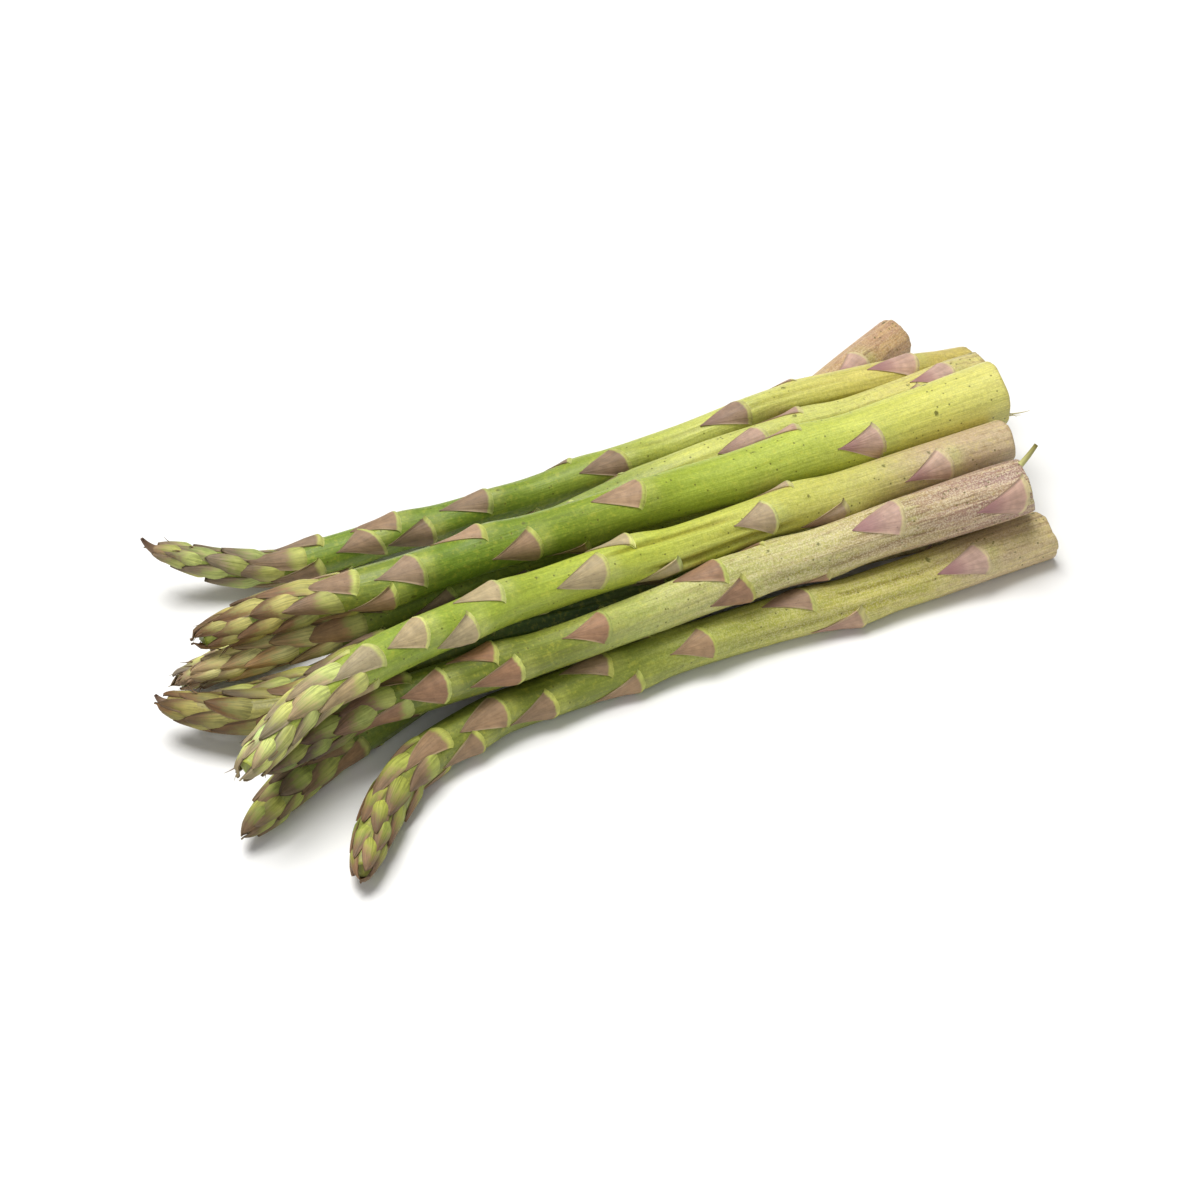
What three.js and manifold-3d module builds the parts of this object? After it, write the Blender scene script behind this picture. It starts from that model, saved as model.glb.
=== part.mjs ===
// A loose bundle of ten green asparagus spears, lying down.
// Millimetres, +Z up. The tips point to -X, the cut butts to +X, and the lowest spears lie on z = 0.
import * as THREE from "three";
import { mergeVertices } from "three/addons/utils/BufferGeometryUtils.js";
import Module from "manifold-3d";

const wasm = await Module();
wasm.setup();

// Driving dimensions, in millimetres and degrees.
const HEAD_LENGTH = 42; // the closed bud at a spear's tip
const HEAD_BELLY = 0.4; // where the head is widest, as a share of its length
const HEAD_BLUNTNESS = 0.55; // 0.5 rounds the tip like an egg, 1 makes it a cone
const BUTT_TAPER = 2; // 1 thins the stem evenly, 2 thins it mostly near the butt
const STEM_SIDES = 10;
const STEM_RINGS = 9;
const HEAD_RINGS = 5;

const LEAF_LENGTH = 12.5; // from its base to its point
const LEAF_WIDTH = 8.4;
const LEAF_LIFT = 0.7; // how far the leaf's base stands off the stem
const LEAF_POINT_LIFT = 0.15;
const LEAF_ROOT = 0.7; // how far the leaf goes into the stem
const LEAF_TAPER = 1.5; // above 1 its two edges bulge, at 1 they are straight
const LEAF_POINT_WIDTH = 0.08; // share of the width left at the point
const LEAF_ACROSS = 2; // segments
const LEAF_ALONG = 1;

const HEAD_LEAVES = 4;
const HEAD_LEAF_SIZE = 0.8; // against a leaf on the stem
const HEAD_LEAF_REACH = 0.66; // how far up the head the last of them starts, as a share
const GOLDEN_ANGLE = 137.5; // from one head leaf to the next

const TOUCHING_GAP = 0.3; // kept between two spears that lie on each other
const FLOOR_SIZE = 600;
const FLOOR_THICKNESS = 20;
const SAME_POINT = 0.001; // corners closer than this are joined

// One entry for each spear. butt, neck and head are its radii at the cut end, below the head and at the
// head's belly. way is where its middle runs, from the butt to the tip. leaves lists the scale leaves on its
// stem: how far the base is from the cut end, and how many degrees it is turned from the top to the front (-Y).
const SPEARS = [
  {
    name: "spear_back",
    colour: "#86a03c",
    butt: 4.3, neck: 4.1, head: 4.6,
    way: [[115.3, 44, 10], [92.3, 43, 13.6], [68.3, 43, 15.4], [31.3, 43.4, 11.2], [-8.7, 45.8, 6.8],
      [-37.7, 48, 5], [-63.7, 49, 5.5], [-85.7, 57, 13.5]],
    leaves: [[15, 4], [30, 150], [45, 270], [59, 19], [74, 165], [90, 37], [101, 275], [112, 155], [123, 9],
      [131, 230], [138, 74], [145, 340], [151, 44], [158, 180]],
  },
  {
    name: "spear_crossing",
    colour: "#a9a866",
    butt: 5.9, neck: 4.6, head: 5.0,
    way: [[106, 63, 5.6], [61, 43, 5], [19, 24, 4.6], [-21, 7, 4.4], [-50, -4, 4.3], [-74, -14, 4.7],
      [-95, -27, 4.6]],
    leaves: [[15, 30], [32, 165], [50, 290], [68, 60], [84, 195], [99, 330], [113, 100], [126, 235], [138, 10],
      [149, 150], [159, 280], [168, 50], [176, 185]],
  },
  {
    name: "spear_thick",
    colour: "#9cb33f",
    butt: 7.9, neck: 4.8, head: 5.4,
    way: [[109, 19, 22], [67, 18, 21.5], [25, 16, 23], [-16, 15, 24.5], [-45, 15, 23], [-68, 19, 21],
      [-88, 21, 17]],
    leaves: [[12, 200], [33, 64], [50, 310], [66, 170], [80, 250], [92, 14], [106, 150], [119, 70], [130, 329],
      [139, 200], [146, 30], [153, 99]],
  },
  {
    name: "spear_upper",
    colour: "#b5bd58",
    butt: 5.6, neck: 4.8, head: 5.3,
    way: [[104, 5, 20], [63, 5, 19], [20, 1, 22], [-21, -3, 25], [-50, -8, 26], [-75, -15, 25.5],
      [-94, -26, 21]],
    leaves: [[16, 50], [30, 190], [43, 104], [53, 300], [62, 44], [75, 180], [87, 115], [96, 320], [105, 44],
      [118, 200], [130, 351], [139, 81], [150, 20], [157, 240]],
  },
  {
    name: "spear_purple",
    colour: "#a39a70",
    butt: 6.7, neck: 4.5, head: 4.8,
    way: [[101, -10, 20], [63, -8, 17], [24, -8, 15.5], [-14, -11, 15], [-42, -12, 15.5], [-66, -13, 15.5],
      [-87, -20, 14]],
    leaves: [[1.5, 65], [16, 220], [31, 21], [50, 150], [62, 290], [70, 86], [75, 353], [90, 200], [105, 34],
      [116, 250], [127, 80], [131, 341], [144, 48]],
  },
  {
    name: "spear_front",
    colour: "#a8b35a",
    butt: 5.9, neck: 4.7, head: 5.6,
    way: [[106, -13, 5.5], [67, -14.5, 5.1], [29, -13, 4.8], [-9, -14, 4.5], [-37, -16, 4.5],
      [-60, -27, 4.8], [-77, -49, 5]],
    leaves: [[18, 46], [34, 200], [49, 115], [61, 359], [74, 220], [86, 46], [96, 290], [104, 108], [110, 359],
      [118, 200], [125, 74], [137, 30], [145, 96]],
  },
  {
    name: "spear_inner_back",
    colour: "#a9b95a",
    butt: 5.4, neck: 4.2, head: 4.6,
    way: [[113, 34.6, 14.7], [70, 32, 15], [34, 31, 15.5], [10, 31, 11], [-14, 31.5, 6.8], [-42, 31, 4.8],
      [-68, 27, 4.6], [-93, 23, 4]],
    leaves: [[8, 20], [17, 65], [32, 180], [46, 300], [58, 30], [74, 150], [90, 260], [105, 40], [119, 170],
      [131, 290], [142, 60], [152, 190]],
  },
  {
    name: "spear_inner_bent",
    colour: "#8c9a45",
    butt: 5.0, neck: 4.2, head: 4.6,
    way: [[112, 22.5, 5], [69, 22.5, 5], [27, 20, 12.3], [4, 19, 14.4], [-20, 17.5, 14.5], [-47, 16, 13],
      [-69, 17.5, 11], [-90, 19, 9]],
    leaves: [[20, 110], [38, 240], [56, 10], [73, 140], [90, 275], [105, 50], [119, 185], [131, 320], [142, 90],
      [152, 225]],
  },
  {
    name: "spear_brown",
    colour: "#8f8a4a",
    butt: 5.2, neck: 4.5, head: 5.6,
    way: [[107, 1, 5.2], [63, 1.5, 5.2], [18, 0.5, 8.5], [-25, -1, 15], [-56, -2, 14.5], [-80, 1, 9.5],
      [-99, 14, 9]],
    leaves: [[22, 160], [40, 300], [58, 60], [75, 200], [92, 330], [108, 90], [122, 225], [135, 0], [147, 130],
      [158, 260]],
  },
  {
    name: "spear_inner_low",
    colour: "#8c9a45",
    butt: 4.6, neck: 3.9, head: 4.3,
    way: [[98, 12, 4.6], [59, 12, 4.6], [18, 10.5, 9.5], [-8, 9.3, 13.7], [-21, 8.4, 13.9],
      [-49, 7.3, 11.5], [-72, 9, 6], [-92, 14, 5]],
    leaves: [[18, 240], [34, 20], [50, 150], [66, 290], [82, 70], [97, 205], [111, 340], [124, 110], [136, 250]],
  },
];

const { clamp, degToRad, lerp } = THREE.MathUtils;

// A spear's middle line, its length, and the two directions square to it at any distance from the cut end.
function routeOf(spear) {
  const points = spear.way.map((point) => new THREE.Vector3(...point));
  const curve = new THREE.CatmullRomCurve3(points, false, "centripetal");
  const length = curve.getLength();
  const at = (distance) => {
    const share = clamp(distance / length, 0, 1);
    const along = curve.getTangentAt(share);
    const side = new THREE.Vector3(along.y, -along.x, 0).normalize();
    const up = new THREE.Vector3().crossVectors(side, along);
    return { middle: curve.getPointAt(share), side, up };
  };
  return { length, at };
}

// The stem's radius thins from the butt to the neck. The head swells to its belly and closes at the tip.
function radiusAt(spear, length, distance) {
  const headStart = length - HEAD_LENGTH;
  if (distance < headStart) {
    return lerp(spear.neck, spear.butt, (1 - distance / headStart) ** BUTT_TAPER);
  }
  const share = clamp((distance - headStart) / HEAD_LENGTH, 0, 1);
  if (share < HEAD_BELLY) {
    return lerp(spear.neck, spear.head, THREE.MathUtils.smoothstep(share, 0, HEAD_BELLY));
  }
  const beyond = (share - HEAD_BELLY) / (1 - HEAD_BELLY);
  return spear.head * (1 - beyond ** 2) ** HEAD_BLUNTNESS;
}

// Bends a shape drawn round a straight upright spear, its y the distance from the cut end, along the route.
function bend(geometry, route) {
  const position = geometry.getAttribute("position");
  for (let i = 0; i < position.count; i += 1) {
    const { middle, side, up } = route.at(position.getY(i));
    middle.addScaledVector(side, position.getX(i)).addScaledVector(up, position.getZ(i));
    position.setXYZ(i, middle.x, middle.y, middle.z);
  }
  return geometry;
}

function solidOf(geometry) {
  geometry.deleteAttribute("normal");
  geometry.deleteAttribute("uv");
  const merged = mergeVertices(geometry, SAME_POINT);
  const mesh = new wasm.Mesh({
    numProp: 3,
    vertProperties: new Float32Array(merged.getAttribute("position").array),
    triVerts: new Uint32Array(merged.index.array),
  });
  return new wasm.Manifold(mesh);
}

function geometryOf(solid) {
  const { vertProperties, triVerts } = solid.getMesh();
  const geometry = new THREE.BufferGeometry();
  geometry.setAttribute("position", new THREE.BufferAttribute(vertProperties, 3));
  geometry.setIndex(new THREE.BufferAttribute(triVerts, 1));
  geometry.computeVertexNormals();
  return geometry;
}

// The stem and head with no leaves, grown by an allowance all round.
function stemSolid(spear, route, allowance = 0) {
  const headStart = route.length - HEAD_LENGTH;
  const outline = [new THREE.Vector2(0, 0)];
  for (let ring = 0; ring < STEM_RINGS; ring += 1) {
    const distance = (headStart * ring) / STEM_RINGS;
    outline.push(new THREE.Vector2(radiusAt(spear, route.length, distance) + allowance, distance));
  }
  for (let ring = 0; ring < HEAD_RINGS; ring += 1) {
    const distance = headStart + (HEAD_LENGTH * ring) / HEAD_RINGS;
    outline.push(new THREE.Vector2(radiusAt(spear, route.length, distance) + allowance, distance));
  }
  outline.push(new THREE.Vector2(0, route.length));
  return solidOf(bend(new THREE.LatheGeometry(outline, STEM_SIDES), route));
}

// One scale leaf: a box wrapped round the stem, drawn in to a point towards the tip and standing off at its base.
function leafSolid(spear, route, base, turn, size) {
  const box = new THREE.BoxGeometry(1, 1, 1, LEAF_ACROSS, LEAF_ALONG, 1);
  const position = box.getAttribute("position");
  for (let i = 0; i < position.count; i += 1) {
    const share = position.getY(i) + 0.5;
    const distance = base + share * LEAF_LENGTH * size;
    const stem = radiusAt(spear, route.length, distance);
    const width = LEAF_WIDTH * size * lerp(1 - share ** LEAF_TAPER, 1, LEAF_POINT_WIDTH);
    const angle = (position.getX(i) * width) / stem - degToRad(turn);
    const lift = position.getZ(i) > 0 ? lerp(LEAF_LIFT, LEAF_POINT_LIFT, share) * size : -LEAF_ROOT;
    position.setXYZ(i, (stem + lift) * Math.sin(angle), distance, (stem + lift) * Math.cos(angle));
  }
  return solidOf(bend(box, route));
}

// The listed leaves on the stem, then the smaller ones that spiral up the head.
function leavesSolid(spear, route) {
  const leaves = spear.leaves.map(([base, turn]) => leafSolid(spear, route, base, turn, 1));
  const lastTurn = spear.leaves.at(-1)[1];
  for (let i = 1; i <= HEAD_LEAVES; i += 1) {
    const share = (HEAD_LEAF_REACH * (i - 1)) / (HEAD_LEAVES - 1);
    const base = route.length - HEAD_LENGTH * (1 - share);
    leaves.push(leafSolid(spear, route, base, lastTurn + i * GOLDEN_ANGLE, HEAD_LEAF_SIZE));
  }
  return wasm.Manifold.union(leaves);
}

// What a spear lies on: everything below z = 0.
function floorSolid() {
  const slab = new THREE.BoxGeometry(FLOOR_SIZE, FLOOR_SIZE, FLOOR_THICKNESS);
  slab.translate(0, 0, -FLOOR_THICKNESS / 2);
  return solidOf(slab);
}

const routes = SPEARS.map(routeOf);
const floor = floorSolid();

// A leaf is pressed away where another spear lies against it, and so is what would reach below the floor.
function spearSolid(index) {
  const allowance = LEAF_LIFT + TOUCHING_GAP;
  const others = SPEARS.map((spear, i) => (i === index ? null : stemSolid(spear, routes[i], allowance)));
  const neighbours = wasm.Manifold.union(others.filter(Boolean));
  const leaves = leavesSolid(SPEARS[index], routes[index]).subtract(neighbours);
  return stemSolid(SPEARS[index], routes[index]).add(leaves).subtract(floor);
}

const bundle = new THREE.Group();
SPEARS.forEach((spear, index) => {
  const material = new THREE.MeshStandardMaterial({ color: spear.colour, roughness: 0.5, metalness: 0 });
  const mesh = new THREE.Mesh(geometryOf(spearSolid(index)), material);
  mesh.name = spear.name;
  bundle.add(mesh);
});

// The origin is under the middle of the bundle, on the surface that it lies on.
const centre = new THREE.Box3().setFromObject(bundle).getCenter(new THREE.Vector3());
bundle.position.set(-centre.x, -centre.y, 0);

export default bundle;
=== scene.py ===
# %% [markdown]
# # A bundle of asparagus
# Ten green asparagus spears lie loosely on each other, heads at one end and cut butts at the other. The
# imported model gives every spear's place and thickness as one plain solid. This lesson grows the real
# surface on each of them: a ribbed waxy stem, triangular scale leaves, a head of overlapping scales and a
# fibrous cut end.

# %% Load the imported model
import math

import bpy
import numpy as np
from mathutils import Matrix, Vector


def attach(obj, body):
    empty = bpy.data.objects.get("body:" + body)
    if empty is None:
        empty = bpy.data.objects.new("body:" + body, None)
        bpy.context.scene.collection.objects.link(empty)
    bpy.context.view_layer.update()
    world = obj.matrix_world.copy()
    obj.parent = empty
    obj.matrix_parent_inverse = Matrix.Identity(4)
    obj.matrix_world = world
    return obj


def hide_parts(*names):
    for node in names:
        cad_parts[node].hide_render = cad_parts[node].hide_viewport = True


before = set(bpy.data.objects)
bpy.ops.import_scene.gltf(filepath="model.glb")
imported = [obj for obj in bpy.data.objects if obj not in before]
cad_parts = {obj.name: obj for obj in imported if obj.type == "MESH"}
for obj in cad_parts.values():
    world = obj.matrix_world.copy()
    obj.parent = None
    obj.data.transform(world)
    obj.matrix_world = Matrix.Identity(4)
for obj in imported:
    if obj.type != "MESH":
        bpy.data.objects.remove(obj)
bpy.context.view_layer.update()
MM = 0.001

# %% [markdown]
# ## Camera
# The camera comes first, because it decides which leaves matter. It looks down on the bundle from the side
# of the heads. A long lens far away keeps the spears nearly parallel, as a catalogue picture does.

# %% Camera
VIEW_AZIMUTH = math.radians(-24)
VIEW_ELEVATION = math.radians(43)
VIEW_DISTANCE = 900 * MM
VIEW_AIM = Vector((-8.5, -9.6, 14.0)) * MM
LENS_MM = 121.35

towards_camera = Vector((
    math.sin(VIEW_AZIMUTH) * math.cos(VIEW_ELEVATION),
    -math.cos(VIEW_AZIMUTH) * math.cos(VIEW_ELEVATION),
    math.sin(VIEW_ELEVATION),
))
camera = bpy.data.objects.new("camera", bpy.data.cameras.new("camera"))
bpy.context.scene.collection.objects.link(camera)
camera.data.lens = LENS_MM
camera.location = VIEW_AIM + towards_camera * VIEW_DISTANCE
camera.rotation_euler = towards_camera.to_track_quat("Z", "Y").to_euler()
bpy.context.scene.camera = camera
print("camera at", [round(value, 3) for value in camera.location])

# %% [markdown]
# ## Floor and light
# A pale floor and large soft lamps give the even light of a product picture. One broad lamp hangs overhead
# and a little behind the bundle, so that each spear is bright along its top and darker below. A weaker one
# fills the near side, and a pale sky lifts the shadows. The colours are shown as they are, with no film
# curve, because the greens should stay fresh.

# %% Floor and light
FLOOR_SIZE = 4.0
FLOOR_WHITE = 0.86
FLOOR_DROP = 0.2 * MM


def flat_square(name, size, height):
    """One square face of the given size, level, its middle over the origin."""
    half = size / 2
    mesh = bpy.data.meshes.new(name)
    corners = [(-half, -half, height), (half, -half, height), (half, half, height), (-half, half, height)]
    mesh.from_pydata(corners, [], [(0, 1, 2, 3)])
    square = bpy.data.objects.new(name, mesh)
    bpy.context.scene.collection.objects.link(square)
    return square


def soft_lamp(name, place, size, watts, colour):
    """A square lamp of the given size at a place, facing the bundle."""
    lamp = bpy.data.objects.new(name, bpy.data.lights.new(name, "AREA"))
    lamp.data.shape = "SQUARE"
    lamp.data.size = size
    lamp.data.energy = watts
    lamp.data.color = colour
    lamp.location = place
    lamp.rotation_euler = Vector(place).to_track_quat("Z", "Y").to_euler()
    bpy.context.scene.collection.objects.link(lamp)
    return lamp


floor = flat_square("floor", FLOOR_SIZE, -FLOOR_DROP)
floor_paint = bpy.data.materials.new("floor_paint")
floor_paint.use_nodes = True
floor_shader = floor_paint.node_tree.nodes["Principled BSDF"]
floor_shader.inputs["Base Color"].default_value = (FLOOR_WHITE, FLOOR_WHITE, FLOOR_WHITE, 1)
floor_shader.inputs["Roughness"].default_value = 0.9
floor_shader.inputs["Specular IOR Level"].default_value = 0.1
floor.data.materials.append(floor_paint)

soft_lamp("key", place=(-0.25, 0.35, 1.6), size=1.0, watts=33.5, colour=(1.0, 0.99, 0.97))
soft_lamp("fill", place=(-0.9, -1.2, 0.9), size=1.2, watts=6.5, colour=(1.0, 1.0, 0.99))

sky = bpy.data.worlds.new("sky")
bpy.context.scene.world = sky
sky.use_nodes = True
sky.node_tree.nodes["Background"].inputs["Color"].default_value = (1.0, 1.0, 0.99, 1)
sky.node_tree.nodes["Background"].inputs["Strength"].default_value = 0.24
bpy.context.scene.view_settings.view_transform = "Standard"

# %% [markdown]
# ## Reading a spear's line from its solid
# Nothing about a spear's place is typed in here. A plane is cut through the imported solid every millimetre
# and a half, always square to the spear, walking from the butt to the tip. The middle of each cut gives the
# line, and its distance from the middle gives the thickness. A little smoothing takes out the bumps of the
# plain leaves.

# %% Measure a spear
STEP = 1.5 * MM
FIRST_CUTS = (8 * MM, 20 * MM)
SMOOTHING_STEPS = 3.0
FACET_LOSS = 0.975  # a ten-sided stem's mean radius against that of the round stem
BEYOND = 14 * MM  # how far past both ends the measured line goes on, straight


def triangles_of(node):
    """The corner points of a node's triangles, as an array of triangle, corner and coordinate."""
    mesh = node.data
    points = np.empty(len(mesh.vertices) * 3)
    mesh.vertices.foreach_get("co", points)
    mesh.calc_loop_triangles()
    corners = np.empty(len(mesh.loop_triangles) * 3, np.int32)
    mesh.loop_triangles.foreach_get("vertices", corners)
    return points.reshape(-1, 3)[corners.reshape(-1, 3)]


def cut(triangles, point, direction):
    """The plane through point, square to direction, cuts each triangle that has one corner alone on its
    side. Returns the middle of all those pieces of outline, weighted by their length, and their usual
    distance from it."""
    height = (triangles - point) @ direction
    above = height > 0
    crossing = above.any(axis=1) & ~above.all(axis=1)
    triangles, height, above = triangles[crossing], height[crossing], above[crossing]
    if not len(triangles):
        return None
    alone = np.argmax(above == (above.sum(axis=1) == 1)[:, None], axis=1)
    row = np.arange(len(triangles))
    start, start_height = triangles[row, alone], height[row, alone]
    ends = []
    for turn in (1, 2):
        other = (alone + turn) % 3
        share = start_height / (start_height - height[row, other])
        ends.append(start + (triangles[row, other] - start) * share[:, None])
    length = np.linalg.norm(ends[1] - ends[0], axis=1)
    half_way = (ends[0] + ends[1]) / 2
    middle = (half_way * length[:, None]).sum(axis=0) / length.sum()
    away = np.linalg.norm(half_way - middle, axis=1)
    order = np.argsort(away)
    usual = away[order][np.searchsorted(np.cumsum(length[order]), length.sum() / 2)]
    return middle, usual


def unit(vectors):
    """Vectors divided by their length."""
    return vectors / np.linalg.norm(vectors, axis=-1, keepdims=True)


def smoothed(values, width):
    """Each value becomes the bell-weighted mean of its neighbours. The ends are mirrored through the end
    points, so that a straight line stays a straight line of the same length."""
    reach = int(4 * width)
    bell = np.exp(-0.5 * (np.arange(-reach, reach + 1) / width) ** 2)
    bell /= bell.sum()
    before = 2 * values[0] - values[reach:0:-1]
    after = 2 * values[-1] - values[-2:-reach - 2:-1]
    padded = np.concatenate([before, values, after])
    return np.stack([np.convolve(column, bell, "valid") for column in padded.T], axis=1)


class Spear:
    """A spear's middle line, radius and two square directions, against the distance from the cut end."""

    def __init__(self, node):
        triangles = triangles_of(node)
        points = triangles.reshape(-1, 3)
        butt = points[:, 0].max()
        level = np.array([1.0, 0.0, 0.0])
        near, far = (cut(triangles, level * (butt - depth), level)[0] for depth in FIRST_CUTS)
        heading = unit(far - near)
        start = near + heading * ((points - near) @ heading).min()
        middles, radii = [start], []
        here = start + heading * STEP
        found = cut(triangles, here, heading)
        while found:
            middles.append(found[0])
            radii.append(found[1] / FACET_LOSS)
            heading = unit(heading + (found[0] - middles[-2]) / STEP)
            here = found[0] + heading * STEP
            found = cut(triangles, here, heading)
        tip = points[np.argmax((points - here) @ heading)]
        middles[-1] = tip
        radii[-1] = radii[-2]
        line = smoothed(np.array(middles), SMOOTHING_STEPS)
        walked = np.concatenate([[0], np.cumsum(np.linalg.norm(np.diff(line, axis=0), axis=1))])
        self.length = walked[-1]
        radius = smoothed(np.array([radii[0]] + radii)[:, None], SMOOTHING_STEPS)[:, 0]
        self.at = np.concatenate([[-BEYOND], walked, [self.length + BEYOND]])
        first, last = unit(line[1] - line[0]), unit(line[-1] - line[-3])
        self.middle = np.vstack([line[0] - first * BEYOND, line, line[-1] + last * BEYOND])
        along = unit(np.gradient(self.middle, self.at, axis=0))
        self.side = unit(np.stack([along[:, 1], -along[:, 0], np.zeros(len(along))], axis=1))
        self.up = np.cross(self.side, along)
        self.radius = np.concatenate([radius[:1], radius, radius[-1:]])

    def along(self, values, distance):
        """A measured quantity at any distances from the cut end."""
        if values.ndim == 1:
            return np.interp(distance, self.at, values)
        return np.stack([np.interp(distance, self.at, column) for column in values.T], axis=-1)

    def place(self, distance, turn, out):
        """The middle at this distance, plus out times (up cos(turn) - side sin(turn)). A turn of zero is
        the top of the spear, and a growing turn goes over to its front."""
        distance, turn, out = np.broadcast_arrays(distance, turn, out)
        away = self.along(self.up, distance) * np.cos(turn)[..., None]
        away = away - self.along(self.side, distance) * np.sin(turn)[..., None]
        return self.along(self.middle, distance) + away * out[..., None]


spears = {name: Spear(node) for name, node in sorted(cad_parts.items())}
for name, spear in spears.items():
    print(f"{name}: {spear.length / MM:.0f} mm long, butt {spear.radius[1] / MM:.1f} mm, "
          f"middle {spear.along(spear.radius, spear.length / 2) / MM:.1f} mm in radius")

# %% [markdown]
# ## What differs from spear to spear
# Every spear has its own colours and leaf places. The skin is a list of colours at distances from the cut
# end: the part that grew underground is pale or pinkish, and the part in the light is green. A leaf is
# given by the distance of its base and how far it is turned from the top towards the front, in degrees. A
# furrow is given by its turn, its two ends and its depth. Dry spears have deep ribs, a blush and a mealy
# bloom, and fresh ones are smooth. A small taper makes a blunt head, and open is how far its scales may
# bend outwards. Distances and depths are in millimetres here.


# %% The ten spears
def paint(code):
    """A colour written as a web code, turned into linear light."""
    value = np.array([int(code[i:i + 2], 16) for i in (1, 3, 5)]) / 255
    return np.where(value <= 0.04045, value / 12.92, ((value + 0.055) / 1.055) ** 2.4)


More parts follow.
